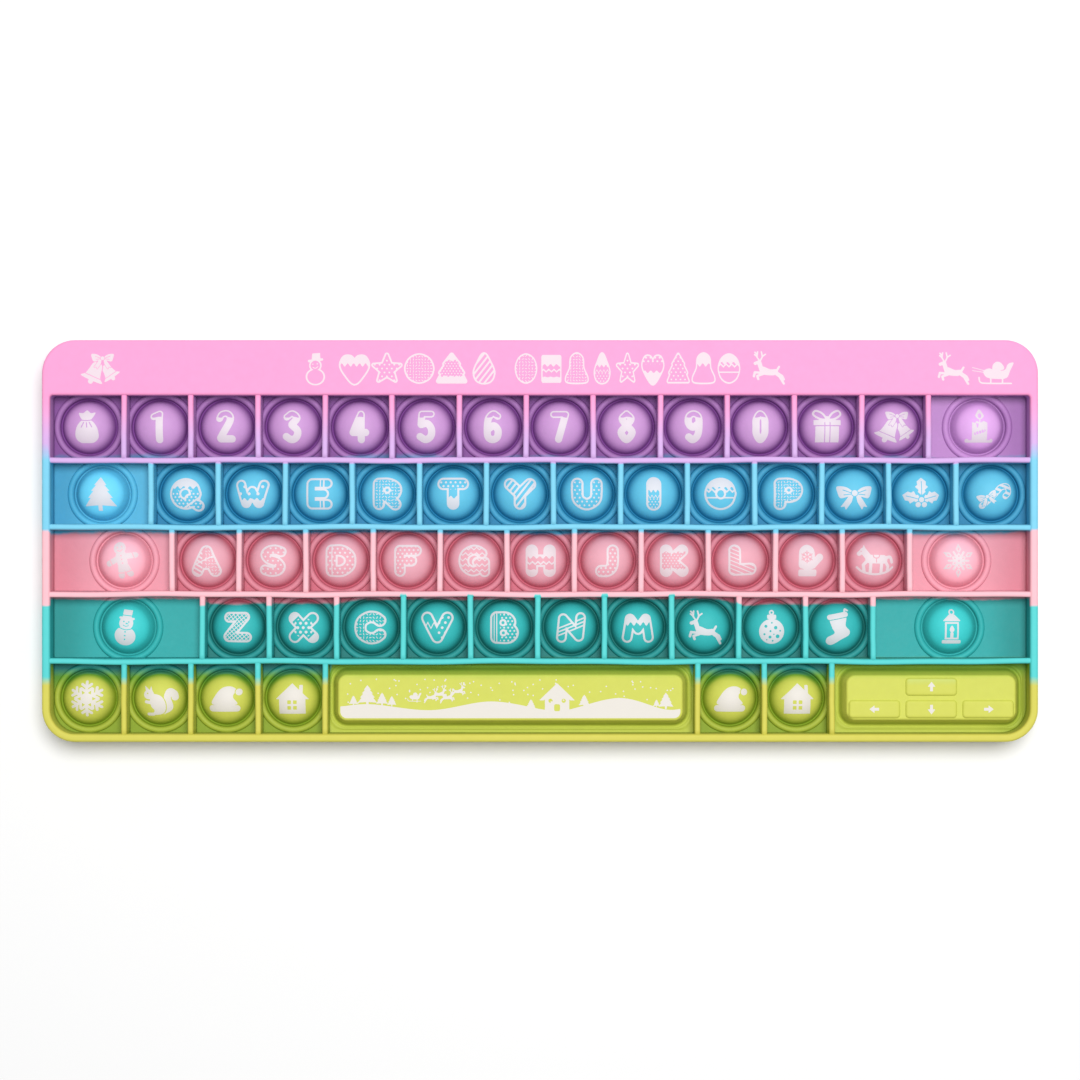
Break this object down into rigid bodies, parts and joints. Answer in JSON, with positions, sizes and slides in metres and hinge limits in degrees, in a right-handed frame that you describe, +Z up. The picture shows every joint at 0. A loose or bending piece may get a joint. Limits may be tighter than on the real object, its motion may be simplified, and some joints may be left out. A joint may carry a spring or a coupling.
{
  "type": "push bubble keyboard fidget toy",
  "caption": "flat silicone fidget toy in the shape of a computer keyboard, with printed domes that pop through the tray from one side to the other",
  "frame": {"origin": "centre of the underside that the toy rests on", "axes": "+X to the right along the keyboard as it is read, +Y away from the reader to the header, +Z up out of the printed face"},
  "size_m": [0.285, 0.115, 0.015],
  "materials": {
    "silicone_pink": "satin moulded silicone",
    "silicone_blended": "satin moulded silicone, colours run into each other from row to row",
    "silicone_violet": "satin moulded silicone",
    "silicone_blue": "satin moulded silicone",
    "silicone_rose": "satin moulded silicone",
    "silicone_turquoise": "satin moulded silicone",
    "silicone_lime": "satin moulded silicone"
  },
  "bodies": {
    "tray": {"rim": "silicone_pink", "wall_grid": "silicone_blended", "web": "silicone_blended", "bubble_walls": "silicone_blended"},
    "bubble_gift_bag": {"bubble_gift_bag": "silicone_violet"},
    "bubble_1": {"bubble_1": "silicone_violet"},
    "bubble_2": {"bubble_2": "silicone_violet"},
    "bubble_3": {"bubble_3": "silicone_violet"},
    "bubble_4": {"bubble_4": "silicone_violet"},
    "bubble_5": {"bubble_5": "silicone_violet"},
    "bubble_6": {"bubble_6": "silicone_violet"},
    "bubble_7": {"bubble_7": "silicone_violet"},
    "bubble_8": {"bubble_8": "silicone_violet"},
    "bubble_9": {"bubble_9": "silicone_violet"},
    "bubble_0": {"bubble_0": "silicone_violet"},
    "bubble_gift_box": {"bubble_gift_box": "silicone_violet"},
    "bubble_bells": {"bubble_bells": "silicone_violet"},
    "bubble_candle": {"bubble_candle": "silicone_violet"},
    "bubble_fir_tree": {"bubble_fir_tree": "silicone_blue"},
    "bubble_q": {"bubble_q": "silicone_blue"},
    "bubble_w": {"bubble_w": "silicone_blue"},
    "bubble_e": {"bubble_e": "silicone_blue"},
    "bubble_r": {"bubble_r": "silicone_blue"},
    "bubble_t": {"bubble_t": "silicone_blue"},
    "bubble_y": {"bubble_y": "silicone_blue"},
    "bubble_u": {"bubble_u": "silicone_blue"},
    "bubble_i": {"bubble_i": "silicone_blue"},
    "bubble_o": {"bubble_o": "silicone_blue"},
    "bubble_p": {"bubble_p": "silicone_blue"},
    "bubble_bow": {"bubble_bow": "silicone_blue"},
    "bubble_holly": {"bubble_holly": "silicone_blue"},
    "bubble_candy_cane": {"bubble_candy_cane": "silicone_blue"},
    "bubble_gingerbread": {"bubble_gingerbread": "silicone_rose"},
    "bubble_a": {"bubble_a": "silicone_rose"},
    "bubble_s": {"bubble_s": "silicone_rose"},
    "bubble_d": {"bubble_d": "silicone_rose"},
    "bubble_f": {"bubble_f": "silicone_rose"},
    "bubble_g": {"bubble_g": "silicone_rose"},
    "bubble_h": {"bubble_h": "silicone_rose"},
    "bubble_j": {"bubble_j": "silicone_rose"},
    "bubble_k": {"bubble_k": "silicone_rose"},
    "bubble_l": {"bubble_l": "silicone_rose"},
    "bubble_mitten": {"bubble_mitten": "silicone_rose"},
    "bubble_rocking_horse": {"bubble_rocking_horse": "silicone_rose"},
    "bubble_snowflake": {"bubble_snowflake": "silicone_rose"},
    "bubble_snowman": {"bubble_snowman": "silicone_turquoise"},
    "bubble_z": {"bubble_z": "silicone_turquoise"},
    "bubble_x": {"bubble_x": "silicone_turquoise"},
    "bubble_c": {"bubble_c": "silicone_turquoise"},
    "bubble_v": {"bubble_v": "silicone_turquoise"},
    "bubble_b": {"bubble_b": "silicone_turquoise"},
    "bubble_n": {"bubble_n": "silicone_turquoise"},
    "bubble_m": {"bubble_m": "silicone_turquoise"},
    "bubble_deer": {"bubble_deer": "silicone_turquoise"},
    "bubble_bauble": {"bubble_bauble": "silicone_turquoise"},
    "bubble_stocking": {"bubble_stocking": "silicone_turquoise"},
    "bubble_lantern": {"bubble_lantern": "silicone_turquoise"},
    "bubbles_bottom_row": {"bubbles_bottom_row": "silicone_lime"},
    "space_bar": {"space_bar": "silicone_lime"},
    "arrow_pad": {"arrow_pad": "silicone_lime"}
  },
  "joints": [
    {"name": "press_bubble_gift_bag", "type": "slide", "parent": "tray", "child": "bubble_gift_bag", "axis": [0, 0, 1], "range_m": [-0.0092, 0], "deforming": ["bubble_walls"]},
    {"name": "press_bubble_1", "type": "slide", "parent": "tray", "child": "bubble_1", "axis": [0, 0, 1], "range_m": [-0.0092, 0], "deforming": ["bubble_walls"]},
    {"name": "press_bubble_2", "type": "slide", "parent": "tray", "child": "bubble_2", "axis": [0, 0, 1], "range_m": [-0.0092, 0], "deforming": ["bubble_walls"]},
    {"name": "press_bubble_3", "type": "slide", "parent": "tray", "child": "bubble_3", "axis": [0, 0, 1], "range_m": [-0.0092, 0], "deforming": ["bubble_walls"]},
    {"name": "press_bubble_4", "type": "slide", "parent": "tray", "child": "bubble_4", "axis": [0, 0, 1], "range_m": [-0.0092, 0], "deforming": ["bubble_walls"]},
    {"name": "press_bubble_5", "type": "slide", "parent": "tray", "child": "bubble_5", "axis": [0, 0, 1], "range_m": [-0.0092, 0], "deforming": ["bubble_walls"]},
    {"name": "press_bubble_6", "type": "slide", "parent": "tray", "child": "bubble_6", "axis": [0, 0, 1], "range_m": [-0.0092, 0], "deforming": ["bubble_walls"]},
    {"name": "press_bubble_7", "type": "slide", "parent": "tray", "child": "bubble_7", "axis": [0, 0, 1], "range_m": [-0.0092, 0], "deforming": ["bubble_walls"]},
    {"name": "press_bubble_8", "type": "slide", "parent": "tray", "child": "bubble_8", "axis": [0, 0, 1], "range_m": [-0.0092, 0], "deforming": ["bubble_walls"]},
    {"name": "press_bubble_9", "type": "slide", "parent": "tray", "child": "bubble_9", "axis": [0, 0, 1], "range_m": [-0.0092, 0], "deforming": ["bubble_walls"]},
    {"name": "press_bubble_0", "type": "slide", "parent": "tray", "child": "bubble_0", "axis": [0, 0, 1], "range_m": [-0.0092, 0], "deforming": ["bubble_walls"]},
    {"name": "press_bubble_gift_box", "type": "slide", "parent": "tray", "child": "bubble_gift_box", "axis": [0, 0, 1], "range_m": [-0.0092, 0], "deforming": ["bubble_walls"]},
    {"name": "press_bubble_bells", "type": "slide", "parent": "tray", "child": "bubble_bells", "axis": [0, 0, 1], "range_m": [-0.0092, 0], "deforming": ["bubble_walls"]},
    {"name": "press_bubble_candle", "type": "slide", "parent": "tray", "child": "bubble_candle", "axis": [0, 0, 1], "range_m": [-0.0092, 0], "deforming": ["bubble_walls"]},
    {"name": "press_bubble_fir_tree", "type": "slide", "parent": "tray", "child": "bubble_fir_tree", "axis": [0, 0, 1], "range_m": [-0.0092, 0], "deforming": ["bubble_walls"]},
    {"name": "press_bubble_q", "type": "slide", "parent": "tray", "child": "bubble_q", "axis": [0, 0, 1], "range_m": [-0.0092, 0], "deforming": ["bubble_walls"]},
    {"name": "press_bubble_w", "type": "slide", "parent": "tray", "child": "bubble_w", "axis": [0, 0, 1], "range_m": [-0.0092, 0], "deforming": ["bubble_walls"]},
    {"name": "press_bubble_e", "type": "slide", "parent": "tray", "child": "bubble_e", "axis": [0, 0, 1], "range_m": [-0.0092, 0], "deforming": ["bubble_walls"]},
    {"name": "press_bubble_r", "type": "slide", "parent": "tray", "child": "bubble_r", "axis": [0, 0, 1], "range_m": [-0.0092, 0], "deforming": ["bubble_walls"]},
    {"name": "press_bubble_t", "type": "slide", "parent": "tray", "child": "bubble_t", "axis": [0, 0, 1], "range_m": [-0.0092, 0], "deforming": ["bubble_walls"]},
    {"name": "press_bubble_y", "type": "slide", "parent": "tray", "child": "bubble_y", "axis": [0, 0, 1], "range_m": [-0.0092, 0], "deforming": ["bubble_walls"]},
    {"name": "press_bubble_u", "type": "slide", "parent": "tray", "child": "bubble_u", "axis": [0, 0, 1], "range_m": [-0.0092, 0], "deforming": ["bubble_walls"]},
    {"name": "press_bubble_i", "type": "slide", "parent": "tray", "child": "bubble_i", "axis": [0, 0, 1], "range_m": [-0.0092, 0], "deforming": ["bubble_walls"]},
    {"name": "press_bubble_o", "type": "slide", "parent": "tray", "child": "bubble_o", "axis": [0, 0, 1], "range_m": [-0.0092, 0], "deforming": ["bubble_walls"]},
    {"name": "press_bubble_p", "type": "slide", "parent": "tray", "child": "bubble_p", "axis": [0, 0, 1], "range_m": [-0.0092, 0], "deforming": ["bubble_walls"]},
    {"name": "press_bubble_bow", "type": "slide", "parent": "tray", "child": "bubble_bow", "axis": [0, 0, 1], "range_m": [-0.0092, 0], "deforming": ["bubble_walls"]},
    {"name": "press_bubble_holly", "type": "slide", "parent": "tray", "child": "bubble_holly", "axis": [0, 0, 1], "range_m": [-0.0092, 0], "deforming": ["bubble_walls"]},
    {"name": "press_bubble_candy_cane", "type": "slide", "parent": "tray", "child": "bubble_candy_cane", "axis": [0, 0, 1], "range_m": [-0.0092, 0], "deforming": ["bubble_walls"]},
    {"name": "press_bubble_gingerbread", "type": "slide", "parent": "tray", "child": "bubble_gingerbread", "axis": [0, 0, 1], "range_m": [-0.0092, 0], "deforming": ["bubble_walls"]},
    {"name": "press_bubble_a", "type": "slide", "parent": "tray", "child": "bubble_a", "axis": [0, 0, 1], "range_m": [-0.0092, 0], "deforming": ["bubble_walls"]},
    {"name": "press_bubble_s", "type": "slide", "parent": "tray", "child": "bubble_s", "axis": [0, 0, 1], "range_m": [-0.0092, 0], "deforming": ["bubble_walls"]},
    {"name": "press_bubble_d", "type": "slide", "parent": "tray", "child": "bubble_d", "axis": [0, 0, 1], "range_m": [-0.0092, 0], "deforming": ["bubble_walls"]},
    {"name": "press_bubble_f", "type": "slide", "parent": "tray", "child": "bubble_f", "axis": [0, 0, 1], "range_m": [-0.0092, 0], "deforming": ["bubble_walls"]},
    {"name": "press_bubble_g", "type": "slide", "parent": "tray", "child": "bubble_g", "axis": [0, 0, 1], "range_m": [-0.0092, 0], "deforming": ["bubble_walls"]},
    {"name": "press_bubble_h", "type": "slide", "parent": "tray", "child": "bubble_h", "axis": [0, 0, 1], "range_m": [-0.0092, 0], "deforming": ["bubble_walls"]},
    {"name": "press_bubble_j", "type": "slide", "parent": "tray", "child": "bubble_j", "axis": [0, 0, 1], "range_m": [-0.0092, 0], "deforming": ["bubble_walls"]},
    {"name": "press_bubble_k", "type": "slide", "parent": "tray", "child": "bubble_k", "axis": [0, 0, 1], "range_m": [-0.0092, 0], "deforming": ["bubble_walls"]},
    {"name": "press_bubble_l", "type": "slide", "parent": "tray", "child": "bubble_l", "axis": [0, 0, 1], "range_m": [-0.0092, 0], "deforming": ["bubble_walls"]},
    {"name": "press_bubble_mitten", "type": "slide", "parent": "tray", "child": "bubble_mitten", "axis": [0, 0, 1], "range_m": [-0.0092, 0], "deforming": ["bubble_walls"]},
    {"name": "press_bubble_rocking_horse", "type": "slide", "parent": "tray", "child": "bubble_rocking_horse", "axis": [0, 0, 1], "range_m": [-0.0092, 0], "deforming": ["bubble_walls"]},
    {"name": "press_bubble_snowflake", "type": "slide", "parent": "tray", "child": "bubble_snowflake", "axis": [0, 0, 1], "range_m": [-0.0092, 0], "deforming": ["bubble_walls"]},
    {"name": "press_bubble_snowman", "type": "slide", "parent": "tray", "child": "bubble_snowman", "axis": [0, 0, 1], "range_m": [-0.0092, 0], "deforming": ["bubble_walls"]},
    {"name": "press_bubble_z", "type": "slide", "parent": "tray", "child": "bubble_z", "axis": [0, 0, 1], "range_m": [-0.0092, 0], "deforming": ["bubble_walls"]},
    {"name": "press_bubble_x", "type": "slide", "parent": "tray", "child": "bubble_x", "axis": [0, 0, 1], "range_m": [-0.0092, 0], "deforming": ["bubble_walls"]},
    {"name": "press_bubble_c", "type": "slide", "parent": "tray", "child": "bubble_c", "axis": [0, 0, 1], "range_m": [-0.0092, 0], "deforming": ["bubble_walls"]},
    {"name": "press_bubble_v", "type": "slide", "parent": "tray", "child": "bubble_v", "axis": [0, 0, 1], "range_m": [-0.0092, 0], "deforming": ["bubble_walls"]},
    {"name": "press_bubble_b", "type": "slide", "parent": "tray", "child": "bubble_b", "axis": [0, 0, 1], "range_m": [-0.0092, 0], "deforming": ["bubble_walls"]},
    {"name": "press_bubble_n", "type": "slide", "parent": "tray", "child": "bubble_n", "axis": [0, 0, 1], "range_m": [-0.0092, 0], "deforming": ["bubble_walls"]},
    {"name": "press_bubble_m", "type": "slide", "parent": "tray", "child": "bubble_m", "axis": [0, 0, 1], "range_m": [-0.0092, 0], "deforming": ["bubble_walls"]},
    {"name": "press_bubble_deer", "type": "slide", "parent": "tray", "child": "bubble_deer", "axis": [0, 0, 1], "range_m": [-0.0092, 0], "deforming": ["bubble_walls"]},
    {"name": "press_bubble_bauble", "type": "slide", "parent": "tray", "child": "bubble_bauble", "axis": [0, 0, 1], "range_m": [-0.0092, 0], "deforming": ["bubble_walls"]},
    {"name": "press_bubble_stocking", "type": "slide", "parent": "tray", "child": "bubble_stocking", "axis": [0, 0, 1], "range_m": [-0.0092, 0], "deforming": ["bubble_walls"]},
    {"name": "press_bubble_lantern", "type": "slide", "parent": "tray", "child": "bubble_lantern", "axis": [0, 0, 1], "range_m": [-0.0092, 0], "deforming": ["bubble_walls"]},
    {"name": "press_bubbles_bottom_row", "type": "slide", "parent": "tray", "child": "bubbles_bottom_row", "axis": [0, 0, 1], "range_m": [-0.0092, 0], "deforming": ["bubble_walls"]},
    {"name": "press_space_bar", "type": "slide", "parent": "tray", "child": "space_bar", "axis": [0, 0, 1], "range_m": [-0.0092, 0], "deforming": ["bubble_walls"]},
    {"name": "press_arrow_pad", "type": "slide", "parent": "tray", "child": "arrow_pad", "axis": [0, 0, 1], "range_m": [-0.0092, 0], "deforming": ["bubble_walls"]}
  ]
}
